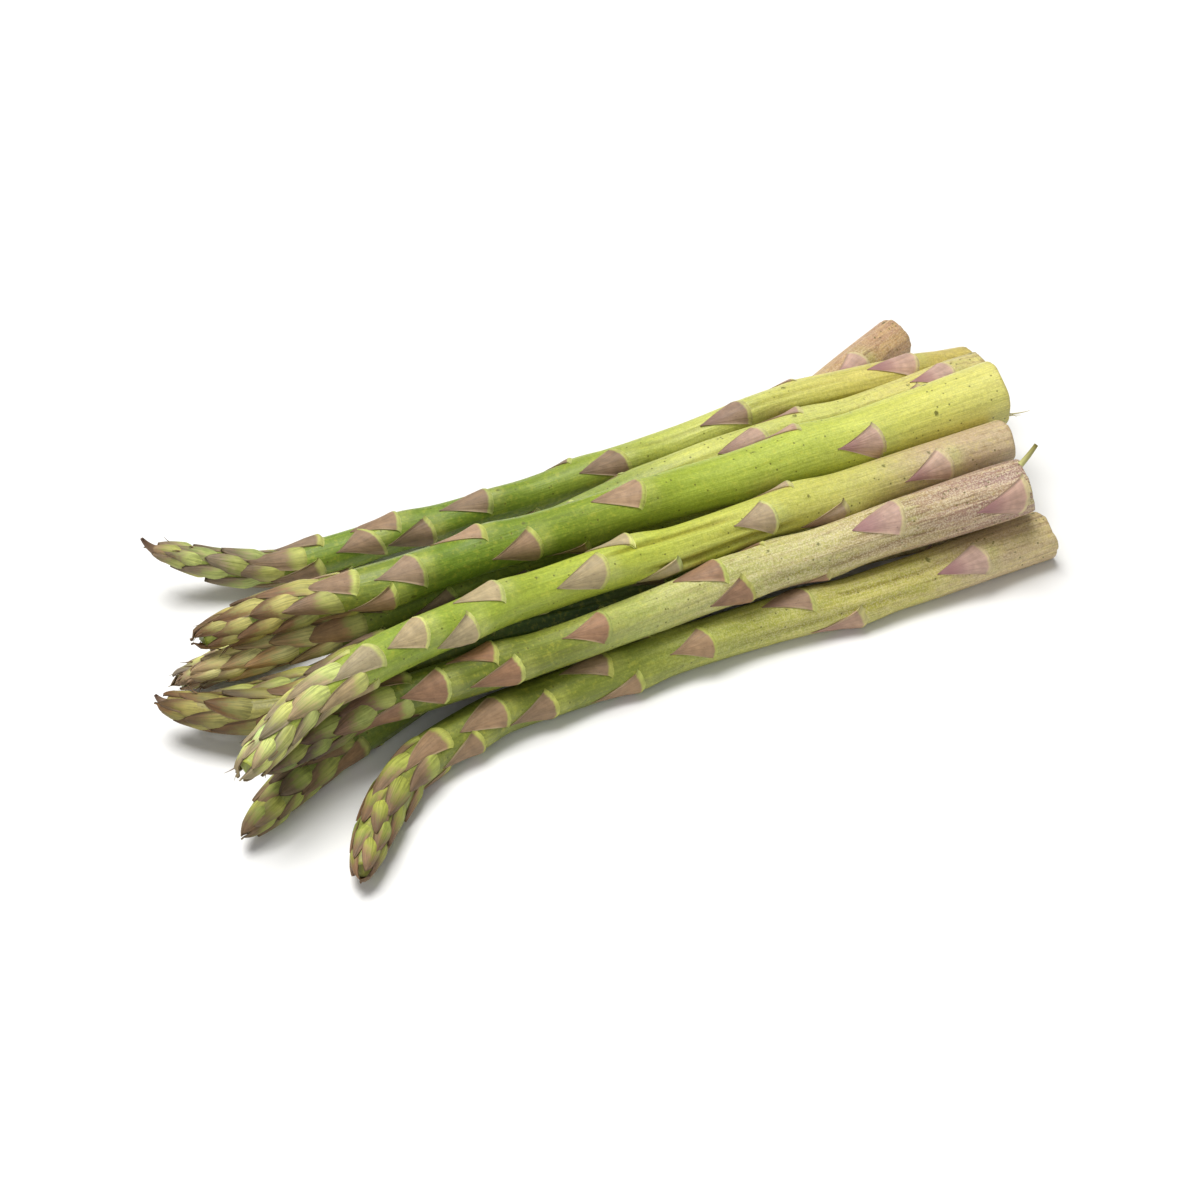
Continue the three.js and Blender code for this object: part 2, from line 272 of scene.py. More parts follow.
LOOKS = {
    "spear_back": dict(
        skin=[(0, "#cbb866"), (35, "#cfc86a"), (60, "#cdd06e"), (80, "#b6be58"), (100, "#8c9e36"),
              (125, "#72892a"), (160, "#789030"), (200, "#8a9448")],
        leaf_body="#8b745c", leaf_foot="#b2b766", head_body="#86735a", head_foot="#a8ae62",
        ribs=0.5, blush=0.15, bloom=0.1, taper=0.5, open=0.35, seed=1,
        furrows=[(20, 30, 95, 0.25), (80, 10, 60, 0.2)],
        leaves=[(15, 4), (30, 150), (45, 270), (59, 19), (74, 165), (90, 37), (101, 275), (112, 155),
                (123, 9), (131, 230), (138, 74), (145, 340), (151, 44), (158, 180)],
    ),
    "spear_crossing": dict(
        skin=[(0, "#cba577"), (20, "#caa67a"), (35, "#c4b070"), (70, "#b9b862"), (120, "#99a84a"),
              (160, "#7c9038"), (190, "#7d8f42"), (218, "#8a8c50")],
        leaf_body="#94795c", leaf_foot="#b9bf70", head_body="#826c50", head_foot="#a9b25a",
        ribs=1.0, blush=0.5, bloom=0.3, taper=0.5, open=0.3, seed=2,
        furrows=[(40, 5, 60, 0.2)],
        leaves=[(15, 30), (32, 165), (50, 290), (68, 60), (84, 195), (99, 330), (113, 100), (126, 235),
                (138, 10), (149, 150), (159, 280), (168, 50), (176, 185)],
    ),
    "spear_thick": dict(
        skin=[(0, "#dad67a"), (20, "#d3d36a"), (50, "#b7c452"), (80, "#a0b23c"), (110, "#7f932b"),
              (140, "#728c29"), (165, "#838e36")],
        leaf_body="#a5876a", leaf_foot="#b4ba62", head_body="#75583a", head_foot="#aea660",
        ribs=0.45, blush=0.1, bloom=0.05, taper=0.36, open=0.8, seed=3,
        furrows=[],
        leaves=[(12, 200), (33, 64), (50, 310), (66, 170), (80, 250), (92, 14), (106, 150), (119, 70),
                (130, 329), (139, 200), (146, 30), (153, 99)],
    ),
    "spear_upper": dict(
        skin=[(0, "#cbb791"), (20, "#c0ab85"), (35, "#c3bf6b"), (50, "#c5c561"), (80, "#c2c858"),
              (95, "#b7c24b"), (125, "#a0b040"), (155, "#8fa53a"), (200, "#a8b252")],
        leaf_body="#ac9c78", leaf_foot="#c3c878", head_body="#a2906c", head_foot="#c3c973",
        ribs=0.55, blush=0.25, bloom=0.1, taper=0.34, open=0.9, seed=4,
        furrows=[(80, 54, 100, 0.8), (14, 66, 110, 0.6), (52, 60, 84, 0.3)],
        leaves=[(16, 50), (30, 190), (43, 104), (53, 300), (62, 44), (75, 180), (87, 115), (96, 320),
                (105, 44), (118, 200), (130, 351), (139, 81), (150, 20), (157, 240)],
    ),
    "spear_purple": dict(
        skin=[(0, "#b5957f"), (15, "#b99d80"), (35, "#c1ad7c"), (50, "#c4bd78"), (80, "#bcbe70"),
              (100, "#aab45e"), (115, "#838d38"), (128, "#737f2b"), (155, "#667427"), (190, "#717c38")],
        leaf_body="#957256", leaf_foot="#b3b864", head_body="#755c4a", head_foot="#8f9850",
        ribs=1.6, blush=0.9, bloom=0.55, taper=0.48, open=0.4, seed=5,
        furrows=[(78, 18, 74, 0.4), (95, 10, 60, 0.3), (0, 0, 50, 0.25)],
        leaves=[(1.5, 65), (16, 220), (31, 21), (50, 150), (62, 290), (70, 86), (75, 353), (90, 200),
                (105, 34), (116, 250), (127, 80), (131, 341), (144, 48)],
    ),
    "spear_front": dict(
        # painted light: the butt's first two colours are lightened to make up for the shadow that falls on
        # this butt
        skin=[(0, "#dcc88c"), (20, "#ccb888"), (35, "#c3be5c"), (50, "#c2bd5e"), (80, "#a8ad4c"),
              (105, "#808c34"), (130, "#7a8430"), (150, "#7f8838"), (198, "#8a8c44")],
        leaf_body="#94795c", leaf_foot="#b3b75c", head_body="#86694c", head_foot="#9da348",
        ribs=1.1, blush=0.4, bloom=0.35, taper=0.45, open=0.35, seed=6,
        furrows=[(22, 18, 62, 0.4), (75, 30, 85, 0.3)],
        leaves=[(18, 46), (34, 200), (49, 115), (61, 359), (74, 220), (86, 46), (96, 290), (104, 108),
                (110, 359), (118, 200), (125, 74), (137, 30), (145, 96)],
    ),
    "spear_inner_back": dict(
        skin=[(0, "#d6cd82"), (15, "#d7cf76"), (50, "#ced374"), (75, "#c8cc6a"), (95, "#8e9e4a"),
              (130, "#869a44"), (160, "#7c8f36"), (200, "#868a44")],
        leaf_body="#a08674", leaf_foot="#c5c97a", head_body="#9c8265", head_foot="#c0c276",
        ribs=0.6, blush=0.3, bloom=0.1, taper=0.4, open=1.2, seed=7,
        furrows=[(30, 20, 90, 0.2)],
        leaves=[(8, 20), (17, 65), (32, 180), (46, 300), (58, 30), (74, 150), (90, 260), (105, 40),
                (119, 170), (131, 290), (142, 60), (152, 190)],
    ),
    "spear_inner_bent": dict(
        skin=[(0, "#cfc87f"), (60, "#c0c566"), (110, "#8b9e40"), (150, "#7d9234"), (200, "#a5ab5e")],
        # painted light: the head's colours are lightened to stand in for light from above, where the thick
        # spear's head shades it
        leaf_body="#957c64", leaf_foot="#b9c068", head_body="#a98f68", head_foot="#d2cd8a",
        ribs=0.7, blush=0.3, bloom=0.2, taper=0.35, open=0.8, seed=8,
        furrows=[],
        leaves=[(20, 110), (38, 240), (56, 10), (73, 140), (90, 275), (105, 50), (119, 185), (131, 320),
                (142, 90), (152, 225)],
    ),
    "spear_brown": dict(
        skin=[(0, "#b0907c"), (20, "#bcac7e"), (50, "#c5be7c"), (75, "#b5b566"), (90, "#66783e"),
              (112, "#50663c"), (135, "#57702e"), (170, "#868a3e"), (210, "#8f8048")],
        leaf_body="#8a6f54", leaf_foot="#aaae5e", head_body="#6e5434", head_foot="#958c4a",
        ribs=3.0, blush=0.4, bloom=0.2, taper=0.42, open=0.4, seed=9,
        furrows=[(20, 60, 130, 0.25), (50, 80, 135, 0.2)],
        leaves=[(22, 160), (40, 300), (58, 60), (75, 200), (92, 330), (108, 90), (122, 225), (135, 0),
                (147, 130), (158, 260)],
    ),
    "spear_inner_low": dict(
        skin=[(0, "#c9c077"), (60, "#bcbd6a"), (110, "#7e923a"), (150, "#6f862f"), (190, "#7f863c")],
        leaf_body="#8a7360", leaf_foot="#b0b860", head_body="#7e6a4c", head_foot="#a3a658",
        ribs=0.8, blush=0.3, bloom=0.2, taper=0.5, open=0.5, seed=10,
        furrows=[],
        leaves=[(18, 240), (34, 20), (50, 150), (66, 290), (82, 70), (97, 205), (111, 340), (124, 110),
                (136, 250)],
    ),
}
print(len(LOOKS), "spears,", sum(len(look["leaves"]) for look in LOOKS.values()), "leaves on their stems")

# %% [markdown]
# ## Meshes from grids
# Each surface below is worked out as a grid of points: rows along the spear and columns round or across it.
# One helper joins a grid's neighbours into faces, and one writes points, faces and what the materials read
# from them into a mesh. Whole arrays go in at once, which is far quicker than a loop over points.


# %% Mesh helpers
def grid_faces(rows, columns, closed=False):
    """The four corners of every cell of a grid whose point (row, column) has number row * columns + column.
    A closed grid joins its last column to its first."""
    row = np.arange(rows - 1)[:, None]
    column = np.arange(columns if closed else columns - 1)[None, :]
    following = (column + 1) % columns
    corners = [row * columns + column, (row + 1) * columns + column,
               (row + 1) * columns + following, row * columns + following]
    return np.stack(np.broadcast_arrays(*corners), axis=-1).reshape(-1, 4)


def fan_faces(ring, centre):
    """Triangles from each side of a ring of points to a centre point, in the ring's own order."""
    ring = np.asarray(ring)
    return np.stack([ring, np.roll(ring, -1), np.full(len(ring), centre)], axis=1)


def make_piece(name, points, quads, triangles=(), colours=(), numbers=(), vectors=(), uv=None):
    """A smooth mesh object at the origin. colours, numbers and vectors are {name: one value per point}."""
    points = np.asarray(points, float).reshape(-1, 3)
    quads = np.asarray(quads, np.int32).reshape(-1, 4)
    triangles = np.asarray(triangles, np.int32).reshape(-1, 3)
    corners = np.concatenate([quads.ravel(), triangles.ravel()])
    starts = np.concatenate([np.arange(len(quads)) * 4, len(quads) * 4 + np.arange(len(triangles)) * 3])
    mesh = bpy.data.meshes.new(name)
    mesh.vertices.add(len(points))
    mesh.vertices.foreach_set("co", points.ravel())
    mesh.loops.add(len(corners))
    mesh.loops.foreach_set("vertex_index", corners)
    mesh.polygons.add(len(starts))
    mesh.polygons.foreach_set("loop_start", starts)
    mesh.update(calc_edges=True)
    mesh.polygons.foreach_set("use_smooth", np.ones(len(starts), bool))
    for key, value in dict(colours).items():
        shade = np.ones((len(points), 4))
        shade[:, :3] = np.asarray(value).reshape(-1, 3)
        written = mesh.color_attributes.new(key, "FLOAT_COLOR", "POINT")
        written.data.foreach_set("color", shade.ravel())
    for key, value in dict(numbers).items():
        written = mesh.attributes.new(key, "FLOAT", "POINT")
        written.data.foreach_set("value", np.asarray(value, float).ravel())
    for key, value in dict(vectors).items():
        written = mesh.attributes.new(key, "FLOAT_VECTOR", "POINT")
        written.data.foreach_set("vector", np.asarray(value).ravel())
    if uv is not None:
        mesh.uv_layers.new(name="across_and_along").data.foreach_set("uv", uv.reshape(-1, 2)[corners].ravel())
    mesh.validate()
    made = bpy.data.objects.new(name, mesh)
    bpy.context.scene.collection.objects.link(made)
    return made


def smoothstep(low, high, value):
    """0 up to low, 1 from high, and a soft S between."""
    share = np.clip((value - low) / (high - low), 0, 1)
    return share * share * (3 - 2 * share)


def mix(a, b, share):
    """a where share is 0, b where share is 1."""
    return a + (b - a) * share


print("a grid of 3 x 4 points:", len(grid_faces(3, 4)), "faces, closed:", len(grid_faces(3, 4, closed=True)))

# %% [markdown]
# ## Spears that touch
# Where two real spears press on each other, the leaves and swellings between them are squeezed flat, and
# the same happens on the floor. Two neighbours share the room between their packed skins: a finished point
# may stand out from its own spear only as far as it stays away from the other one. Points below the floor
# are lifted onto it.

# %% Keep clear of the neighbours
TOUCHING_GAP = 0.2 * MM
LOOK_ROUND = 10 * MM
CLEARING_ROUNDS = 3
LOWEST = 0.03 * MM


def skin_gap(points, spear):
    """How far each point is outside the spear's packed skin, and the nearest place on its middle line. The
    line is sampled every millimetre. The nearest sample has the least line squared less twice point times
    line, and the gap is its distance less the radius there."""
    samples = np.arange(1 * MM, spear.length - 1 * MM, 1 * MM)
    line, reach = spear.along(spear.middle, samples), spear.along(spear.radius, samples)
    closest = np.argmin((line ** 2).sum(axis=1) - 2 * points @ line.T, axis=1)
    return np.linalg.norm(points - line[closest], axis=1) - reach[closest], line[closest]


def kept_clear(piece_name, points):
    """Moves points straight away from a neighbour's middle line, until they are the gap outside its skin,
    and until they are nearer to their own skin than to its. A few rounds settle points between several
    neighbours."""
    points = points.reshape(-1, 3).copy()
    own = next(spear for name, spear in spears.items() if piece_name.startswith(name + "_"))
    for spear in [spear for spear in spears.values() if spear is not own] * CLEARING_ROUNDS:
        low, high = spear.middle.min(axis=0) - LOOK_ROUND, spear.middle.max(axis=0) + LOOK_ROUND
        near = np.flatnonzero(((points > low) & (points < high)).all(axis=1))
        if not len(near):
            continue
        gap, centre = skin_gap(points[near], spear)
        shared = (skin_gap(points[near], own)[0] + TOUCHING_GAP / 2 - gap) / 2
        move = np.maximum(np.maximum(shared, TOUCHING_GAP - gap), 0)
        points[near] += unit(points[near] - centre) * move[:, None]
    points[:, 2] = np.maximum(points[:, 2], LOWEST)
    return points


upper_middle = spears["spear_upper"].middle
gap_to_thick = skin_gap(upper_middle, spears["spear_thick"])[0].min()
print(f"the upper spear's middle comes to {gap_to_thick / MM:.1f} mm from the thick one's skin")

# %% [markdown]
# ## The stem
# A real stem is not a plain tube. It swells towards each leaf's base and falls away under the leaf, it has
# fine ribs all along and a few shallow furrows, and it is a little out of round. So its radius is the
# measured one plus a sum of such small terms, each a formula of the distance from the cut end and of the
# turn round the stem. Inside the head the stem is only a core, and the scales give the head its girth.

# %% Radius of the skin
FULL_TURN = 6.28  # near enough for a phase drawn by chance
HEAD_LENGTH = 42 * MM
CORE_THINS = 14 * MM  # the stretch on which the stem becomes the thinner core
HEAD_CLOSING = 25 * MM  # the part of the head beyond its belly
CORE_SHARE = 0.8  # the core's radius against the head's
NODE_SWELL = 1.1 * MM
SWELL_TO_BUTT, SWELL_TO_TIP, SWELL_TURN = 7.0 * MM, 3.8 * MM, 0.7  # how wide the swelling's bells are
OUT_OF_ROUND = 0.12 * MM
ROUND_TIP = 3 * MM  # the last stretch, which stays round
LEAN_FADES = 4 * MM


def turn_between(a, b):
    """The signed angle from b to a, between minus half a turn and half a turn."""
    return (a - b + math.pi) % (2 * math.pi) - math.pi


def leaf_places(look):
    """The leaves on a stem: distances in metres, turns in radians."""
    table = np.array(look["leaves"], float)
    return table[:, 0] * MM, np.radians(table[:, 1])


def core_radius(spear, look, distance):
    """The measured radius up to the head. From the head's belly on it closes like an egg's end, and inside
    the head it is a share thinner, to leave room for the scales. A small taper makes a blunt tip."""
    belly = spear.length - HEAD_CLOSING
    beyond = np.clip((distance - belly) / HEAD_CLOSING, 0, 1)
    closing = spear.along(spear.radius, np.minimum(distance, belly)) * (1 - beyond ** 2) ** look["taper"]
    head_start = spear.length - HEAD_LENGTH
    return closing * mix(1, CORE_SHARE, smoothstep(head_start, head_start + CORE_THINS, distance))


def skin_radius(spear, look, distance, turn):
    """The core's radius plus a swelling at each leaf's base: a bell over the turn, and along the stem a
    bell that is wider on the butt's side. Three long waves make it out of round."""
    distance, turn = np.broadcast_arrays(distance, turn)
    radius = core_radius(spear, look, distance)
    to_tip = distance < spear.length - ROUND_TIP
    for base, leaf_turn in zip(*leaf_places(look)):
        behind = np.where(distance < base, SWELL_TO_BUTT, SWELL_TO_TIP)
        bell = np.exp(-((distance - base) / behind) ** 2)
        radius = radius + NODE_SWELL * bell * np.exp(-(turn_between(turn, leaf_turn) / SWELL_TURN) ** 2)
    rng = np.random.default_rng(look["seed"])
    for waves in (1, 2, 3):
        phase, drift = rng.uniform(0, FULL_TURN), rng.uniform(0, FULL_TURN)
        wave_length = rng.uniform(45, 90) * MM
        swing = np.sin(waves * turn + phase + np.sin(distance / wave_length * FULL_TURN + drift))
        radius = radius + OUT_OF_ROUND / waves * swing * to_tip
    return radius


def cut_lean(look, distance, turn):
    """How far the skin near the butt is pushed along the spear, because no cut is quite square or flat."""
    rng = np.random.default_rng(look["seed"] + 50)
    lean = rng.uniform(0.3, 0.9) * MM * np.cos(turn + rng.uniform(0, FULL_TURN))
    ragged = rng.uniform(0.1, 0.25) * MM * np.sin(5 * turn + rng.uniform(0, FULL_TURN))
    return (lean + ragged) * np.exp(-np.maximum(distance, 0) / LEAN_FADES)


for name, look in LOOKS.items():
    belly = core_radius(spears[name], look, spears[name].length - HEAD_CLOSING)
    print(f"{name}: the core is {belly / MM:.1f} mm in radius at the head's belly")

# %% [markdown]
# The ribs and furrows are cut only into the stem's own mesh. A furrow runs straight along the stem from
# leaf to leaf, and the dry butts have deeper ribs than the fresh tops.

# %% Ribs and furrows
RIB_COUNTS = (13, 21, 34)
RIB_HEIGHTS = (0.05 * MM, 0.035 * MM, 0.02 * MM)
RIB_FADES = 55 * MM
FURROW_WIDTH = 0.14
FURROW_FADES = 12  # in millimetres, as the furrows' ends are


def rib_height(look, distance, turn):
    """A sum of waves round the stem whose phase wanders slowly along it, deeper near the butt, less the
    furrows."""
    rng = np.random.default_rng(look["seed"] + 100)
    dryness = mix(0.5, 1.6, np.exp(-distance / RIB_FADES)) * look["ribs"]
    height = np.zeros(np.broadcast(distance, turn).shape)
    for count, tall in zip(RIB_COUNTS, RIB_HEIGHTS):
        wander = 1.5 * np.sin(distance / (rng.uniform(30, 60) * MM) + rng.uniform(0, FULL_TURN))
        height = height + tall * np.sin(count * turn + rng.uniform(0, FULL_TURN) + wander)
    return height * dryness - furrow_depth(look, distance, turn)


def furrow_depth(look, distance, turn):
    """Each furrow is a narrow bell over the turn, which fades in and out along the stem and wanders a
    little."""
    depth = np.zeros(np.broadcast(distance, turn).shape)
    for degrees, first, last, deep in look["furrows"]:
        starts = smoothstep(first * MM, (first + FURROW_FADES) * MM, distance)
        runs = starts * (1 - smoothstep((last - FURROW_FADES) * MM, last * MM, distance))
        middle = math.radians(degrees) + 0.08 * np.sin(distance / (9 * MM) + degrees)
        depth = depth + deep * MM * runs * np.exp(-(turn_between(turn, middle) / FURROW_WIDTH) ** 2)
    return depth


print("furrow depths in mm:", sorted(furrow[3] for look in LOOKS.values() for furrow in look["furrows"]))

# %% [markdown]
# The skin's colour is worked out on the same grid. It follows the spear's own list of colours and turns paler
# and yellower just below each leaf. Each furrow is also darkened in colour: painted shade, on top of the cut
# groove. The cut edge is dried brown.

# %% Stem surface
ROUND = 72
DRY_RIM = "#a48f5c"
# the painted shade of a furrow's groove
FURROW_PAINTED_SHADE = "#c4bd7c"
ROW_GAP = 0.75 * MM
RIM = 0.5 * MM
RIM_ROWS = np.array([0, 0.06, 0.2, 0.5]) * MM
THINNEST = 0.15 * MM
RIBS_END = (30 * MM, 12 * MM)  # from the tip: where the ribs start to fade, and where none is left
BLUSH_REACH = 45 * MM
BLOOM_ENDS = (50 * MM, 115 * MM)


def skin_colour(look, distance, turn):
    """The spear's colours between their distances, mixed towards a pale yellow-green in a patch at each
    leaf, darkened in the furrows as painted shade, and dried brown at the cut rim."""
    stops = np.array([stop[0] for stop in look["skin"]]) * MM
    shades = np.array([paint(stop[1]) for stop in look["skin"]])
    colour = np.stack([np.interp(distance, stops, shade) for shade in shades.T], axis=-1)
    pale = paint(look["leaf_foot"])
    for base, leaf_turn in zip(*leaf_places(look)):
        patch = np.exp(-((distance - base + 0.8 * MM) / (2.0 * MM)) ** 2)
        patch = patch * np.exp(-(turn_between(turn, leaf_turn) / 0.8) ** 2)
        colour = mix(colour, pale, 0.5 * patch[..., None])
    # painted shade: the skin in each furrow is darkened, as the shade in the groove would darken it
    shadow = np.clip(furrow_depth(look, distance, turn) / (0.5 * MM), 0, 1)
    colour = mix(colour, colour * paint(FURROW_PAINTED_SHADE), shadow[..., None])
    dry = np.exp(-np.maximum(distance, 0) / (0.5 * MM)) * np.ones_like(turn)
    return mix(colour, paint(DRY_RIM), 0.6 * dry[..., None])


def grain_vectors(turn, out, distance):
    """A point's place inside a straight spear, in millimetres. Patterns that read it run along the stem and
    close round it with no seam."""
    return np.stack([out * np.cos(turn), out * np.sin(turn), distance * np.ones_like(turn)], axis=-1) / MM


def make_stem(name, spear, look):
    """A tube of rings from the rounded cut edge to the core's end inside the head, closed at both ends."""
    rows = np.concatenate([RIM_ROWS, np.arange(1.0 * MM, spear.length - 1.6 * MM, ROW_GAP)])
    distance = rows[:, None]
    turn = (np.arange(ROUND) * 2 * math.pi / ROUND)[None, :]
    before_head = 1 - smoothstep(spear.length - RIBS_END[0], spear.length - RIBS_END[1], distance)
    out = skin_radius(spear, look, distance, turn) + rib_height(look, distance, turn) * before_head
    inward = 1 - np.sqrt(np.clip(1 - (1 - np.clip(distance / RIM, 0, 1)) ** 2, 0, 1))
    out = np.maximum(out - RIM * inward, THINNEST)
    surface = spear.place(distance + cut_lean(look, distance, turn), turn, out).reshape(-1, 3)
    ends = spear.place(np.array([1.0 * MM, spear.length - 1.2 * MM]), np.zeros(2), np.zeros(2))
    count = len(surface)
    quads = grid_faces(len(rows), ROUND, closed=True)
    first_ring, last_ring = np.arange(ROUND)[::-1], count - ROUND + np.arange(ROUND)
    triangles = np.concatenate([fan_faces(first_ring, count), fan_faces(last_ring, count + 1)])
    colour = skin_colour(look, distance, turn).reshape(-1, 3)
    grain = grain_vectors(np.broadcast_to(turn, out.shape), out, distance).reshape(-1, 3)
    blush = look["blush"] * np.exp(-distance / BLUSH_REACH) * np.ones_like(out)
    bloom = look["bloom"] * (1 - smoothstep(*BLOOM_ENDS, distance)) * np.ones_like(out)
    both_ends = [0, count - 1]
    return make_piece(
        name, kept_clear(name, np.concatenate([surface, ends])), quads, triangles,
        colours={"skin": np.concatenate([colour, colour[both_ends]])},
        numbers={"blush": np.append(blush.ravel(), [0, 0]), "bloom": np.append(bloom.ravel(), [0, 0])},
        vectors={"grain": np.concatenate([grain, grain[both_ends]])},
    )


print(ROUND, "points in a ring, and a ring every", ROW_GAP / MM, "mm")

# %% [markdown]
# ## Scale leaves
# A scale leaf is a small triangle that hugs the stem and points to the tip. Its foot is a raised collar in
# the stem's own pale colour, and its body is dusty mauve. All leaves of a spear are worked out together:
# the arrays have one axis for the leaf, one along it and one across it. Each gets an outer and an inner
# side, joined at the rim, so it is a closed little shell.

# %% Leaf surface
LEAF_ROWS = np.array([0, 0.025, 0.05, 0.08, 0.12, 0.17, 0.24, 0.32, 0.41, 0.51, 0.62, 0.73, 0.84, 0.93, 1.0])
LEAF_COLUMNS = np.linspace(-1, 1, 11)
LEAF_BOW = 1.15 * MM
LEAF_SLANT = 0.7 * MM
LEAF_SKEW = 0.12
WIDEST_WRAP = 1.35
LEAST_GIRTH = 1.5 * MM


def shell_faces(count):
    """Faces for a number of leaves whose points are ordered leaf, side, row and column: the outer grid, the
    inner grid turned round, and a strip round the rim that joins the two."""
    rows, columns = len(LEAF_ROWS), len(LEAF_COLUMNS)
    outer = grid_faces(rows, columns)[:, ::-1]
    inner = grid_faces(rows, columns) + rows * columns
    number = np.arange(rows * columns).reshape(rows, columns)
    rim = np.concatenate([number[0, :-1], number[:-1, -1], number[-1, :0:-1], number[:0:-1, 0]])
    after = np.roll(rim, -1)
    strip = np.stack([rim, after, after + rows * columns, rim + rows * columns], axis=1)
    one = np.concatenate([outer, inner, strip])
    return (one[None] + (np.arange(count) * 2 * rows * columns)[:, None, None]).reshape(-1, 4)


def stem_leaf_shape(along, across, lift, fullness):
    """Half width and height of a leaf on the stem. The width falls to the point: evenly for a fullness of
    1, with bulging edges below it and hollow edges above. The height rises at the collar and then sinks to
    the point, and it is low along both edges."""
    width = np.maximum((1 - along) ** fullness * mix(1.06, 1.0, smoothstep(0, 0.12, along)), 0.02)
    collar = smoothstep(-0.01, 0.08, along)
    body = lift * (1 - along) ** 0.7 * (1 - 0.7 * np.abs(across) ** 3)
    return width, mix(-0.1 * MM, body + 0.17 * MM, collar)


def head_scale_shape(along, across, lift, flare):
    """Half width and height of a scale in the head. Its width is even up to its middle and then runs to a
    point. It rises out from under the scales below it and stays out, crowned across like a spoon's back,
    and a flare bends its point outwards."""
    width = np.maximum((1 - along) ** 0.7 * (0.88 + 0.55 * along), 0.02)
    rise = smoothstep(0, 0.35, along)
    crown = 1 - 0.55 * across ** 2
    belly = 0.25 * MM * np.sin(math.pi * along) * (1 - across ** 2)
    return width, -0.3 * MM + (lift + 0.3 * MM) * rise * crown + belly + flare * smoothstep(0.55, 1, along)


print(2 * len(LEAF_ROWS) * len(LEAF_COLUMNS), "points and", len(shell_faces(1)), "faces in a leaf")

# %% [markdown]
# The head's scales climb in a spiral, each turned 137.5 degrees from the last, closer together and smaller
# towards the tip. That is the turn most plants use, and it is why their scales never line up in rows.

# %% Leaves of one spear
GOLDEN_TURN = math.radians(137.5)
LEAF_LENGTH, LEAF_WIDTH, LEAF_LIFT, LEAF_THICKNESS = 12.0 * MM, 9.2 * MM, 0.42 * MM, 0.6 * MM
SCALE_LENGTHS, SCALE_WIDTHS, SCALE_LIFTS = (14.5, 9.2), (9.0, 5.2), (0.85, 0.5)  # lowest and topmost, in mm
SCALE_THICKNESS = 0.4 * MM
PALE_LEAF = "#c7a898"  # the pinkish leaves near the butt
PALE_LEAVES_END = (20 * MM, 78 * MM)
LEAF_SHOULDER = "#cfc093"
HEAD_SCALES = 25


def all_leaves(spear, look):
    """One row for each leaf: base distance, turn, length, width, lift, thickness, fullness, flare, and how
    much of a head scale it is, from 0 to 1. The stem's listed leaves come first, then the head's spiral,
    whose first scales are still partly leaves. Every size has a little chance in it."""
    rng = np.random.default_rng(look["seed"] + 200)
    base, turn = leaf_places(look)
    count = len(base)
    stem = np.stack([
        base, turn, LEAF_LENGTH * rng.uniform(0.88, 1.1, count), LEAF_WIDTH * rng.uniform(0.9, 1.08, count),
        LEAF_LIFT * rng.uniform(0.8, 1.3, count), np.full(count, LEAF_THICKNESS),
        rng.uniform(0.85, 1.3, count), np.zeros(count), np.zeros(count),
    ], axis=1)
    step = np.arange(HEAD_SCALES)
    share = step / (HEAD_SCALES - 1)
    first, last = base.max() + 5 * MM, spear.length - 8.4 * MM
    scales = np.stack([
        mix(first, last, 1 - (1 - share) ** 1.3),
        turn[-1] + GOLDEN_TURN * (step + 1) + rng.normal(0, 0.12, len(step)),
        mix(*SCALE_LENGTHS, share ** 1.5) * MM * rng.uniform(0.86, 1.1, len(step)),
        mix(*SCALE_WIDTHS, share) * MM * rng.uniform(0.85, 1.15, len(step)),
        mix(*SCALE_LIFTS, share) * MM * rng.uniform(0.5, 1.5, len(step)),
        np.full(len(step), SCALE_THICKNESS), np.ones(len(step)),
        look["open"] * MM * rng.uniform(0, 1, len(step)), smoothstep(-0.12, 0.42, share),
    ], axis=1)
    return np.concatenate([stem, scales])


def varied(code, count, rng, amount):
    """A colour for each leaf: the given one, made lighter or darker, and a little warmer or cooler, by
    chance."""
    light = rng.normal(1, amount, (count, 1))
    warmth = rng.normal(0, amount * 0.4, (count, 1)) * np.array([[1.0, 0.0, -1.0]])
    return np.clip(paint(code)[None] * (light + warmth), 0.01, 0.9)


